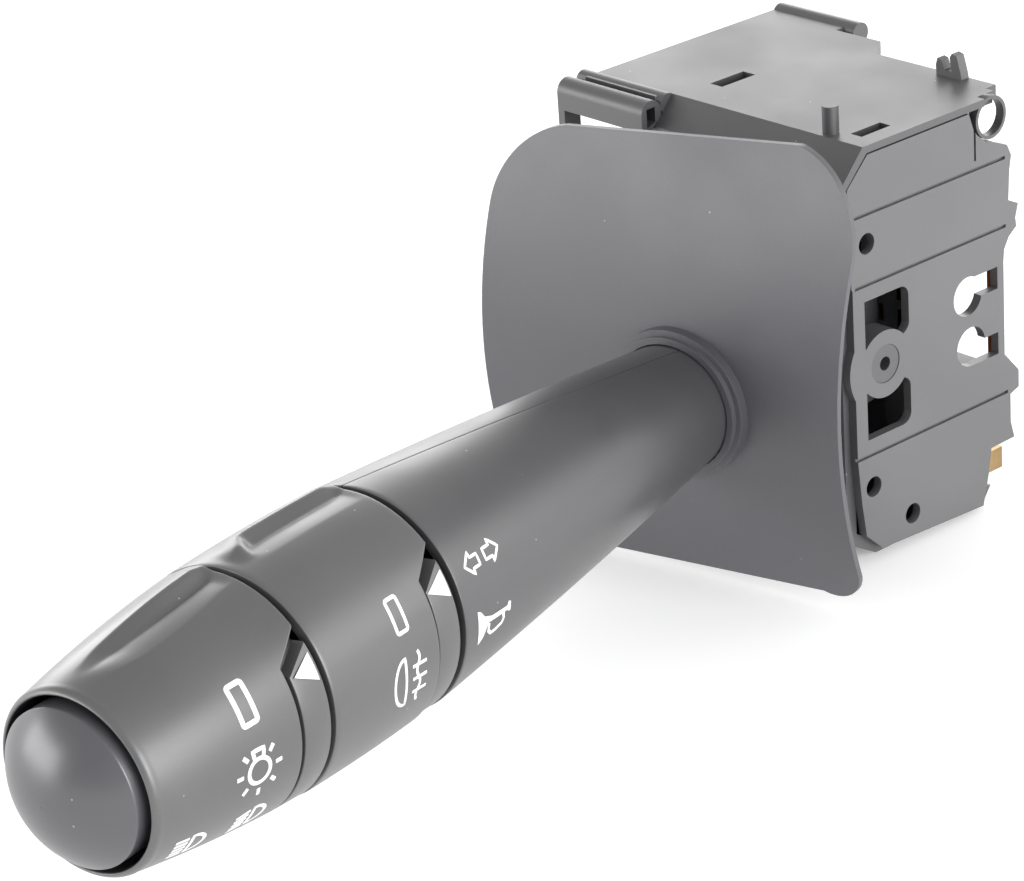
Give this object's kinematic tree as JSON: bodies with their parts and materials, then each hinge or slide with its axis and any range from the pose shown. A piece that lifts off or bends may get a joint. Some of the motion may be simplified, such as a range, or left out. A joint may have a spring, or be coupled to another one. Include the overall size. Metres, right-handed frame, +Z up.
{
  "type": "combination stalk switch",
  "caption": "Steering column lever for indicators, flash, fog lamp, lights and horn, with two turning grips, a push button tip, a shroud shield and a side-fixed switch housing.",
  "frame": {"origin": "midway between the two side fixing holes, on the face that meets the bracket", "axes": "+X out of the fixing face towards the driver's side, +Y back towards the steering column, +Z up; the lever points along -Y, turned 11.6 degrees to +X"},
  "size_m": [0.0766, 0.1854, 0.0664],
  "materials": {
    "housing_plastic": "fine moulded texture, satin",
    "cover_plastic": "fine moulded texture, satin",
    "carrier_plastic": "plain moulded, satin",
    "shield_plastic": "fine eroded grain, matte",
    "sleeve_plastic": "fine eroded grain, matte",
    "ring_plastic": "fine eroded grain, matte",
    "grip_plastic": "fine eroded grain, matte",
    "button_plastic": "fine eroded grain, matte",
    "core_plastic": "natural acetal, satin",
    "insulator_plastic": "filled resin, satin",
    "brass_contacts": "pressed, bright",
    "copper_strip": "rolled copper, dulled",
    "steel_pins": "turned, plain",
    "spring_steel": "drawn wire, plain"
  },
  "bodies": {
    "housing": {"main_housing": "housing_plastic", "side_cover": "cover_plastic", "rear_carrier": "carrier_plastic", "connector_pins": "brass_contacts", "contact_rail": "copper_strip", "earth_tab": "brass_contacts", "detent_track": "insulator_plastic", "contact_plate": "insulator_plastic", "contact_tracks": "brass_contacts", "pawl_pin": "steel_pins"},
    "pawl": {"cancel_pawl": "core_plastic"},
    "slide": {"indicator_slide": "insulator_plastic", "indicator_wipers": "brass_contacts"},
    "rocker": {"yoke": "core_plastic", "lever_pin": "steel_pins"},
    "stalk": {"lever_core": "core_plastic", "plunger_spring": "spring_steel", "shield_plate": "shield_plastic", "sleeve_front_half": "sleeve_plastic", "sleeve_rear_half": "sleeve_plastic", "fog_pointer_ring": "ring_plastic", "light_pointer_ring": "ring_plastic", "fog_contact_disc": "insulator_plastic", "light_contact_disc": "insulator_plastic", "horn_contact_base": "insulator_plastic", "horn_contacts": "brass_contacts", "horn_spring": "spring_steel"},
    "plunger": {"detent_plunger": "core_plastic"},
    "fog_grip": {"fog_ring": "grip_plastic", "fog_wiper": "brass_contacts"},
    "light_grip": {"light_knob": "grip_plastic", "light_wiper": "brass_contacts"},
    "horn": {"horn_button": "button_plastic", "horn_bridge": "brass_contacts"}
  },
  "joints": [
    {"name": "indicator_pivot", "type": "hinge", "parent": "housing", "child": "rocker", "pos_m": [-0.0182, 0.003, -0.0005], "axis": [1, 0, 0], "range_deg": [-11, 11]},
    {"name": "flash_dip", "type": "hinge", "parent": "rocker", "child": "stalk", "pos_m": [-0.0182, 0.003, -0.0005], "axis": [0, 0, 1], "range_deg": [0, 8], "stiffness_Nm_per_rad": 1.2, "springref_deg": -8.59},
    {"name": "fog_turn", "type": "hinge", "parent": "stalk", "child": "fog_grip", "pos_m": [-0.0182, 0.003, -0.0005], "axis": [0.2011, -0.9796, 0], "range_deg": [0, 31]},
    {"name": "light_turn", "type": "hinge", "parent": "stalk", "child": "light_grip", "pos_m": [-0.0182, 0.003, -0.0005], "axis": [0.2011, -0.9796, 0], "range_deg": [0, 65]},
    {"name": "horn_push", "type": "slide", "parent": "stalk", "child": "horn", "axis": [0.2011, -0.9796, 0], "range_m": [-0.0025, 0], "stiffness_N_per_m": 900, "springref_m": 0.002},
    {"name": "plunger_slide", "type": "slide", "parent": "stalk", "child": "plunger", "axis": [0.2011, -0.9796, 0], "range_m": [0, 0.001], "stiffness_N_per_m": 1500, "springref_m": -0.002},
    {"name": "slide_travel", "type": "slide", "parent": "housing", "child": "slide", "axis": [0, 0, 1], "range_m": [-0.0025, 0.0025]},
    {"name": "pawl_tilt", "type": "hinge", "parent": "housing", "child": "pawl", "pos_m": [-0.0315, 0.0261, -0.0005], "axis": [1, 0, 0], "range_deg": [-14, 14], "stiffness_Nm_per_rad": 0.02}
  ],
  "couplings": [
    {"joint": "slide_travel", "follows": "indicator_pivot", "m_per_rad": 0.013}
  ]
}
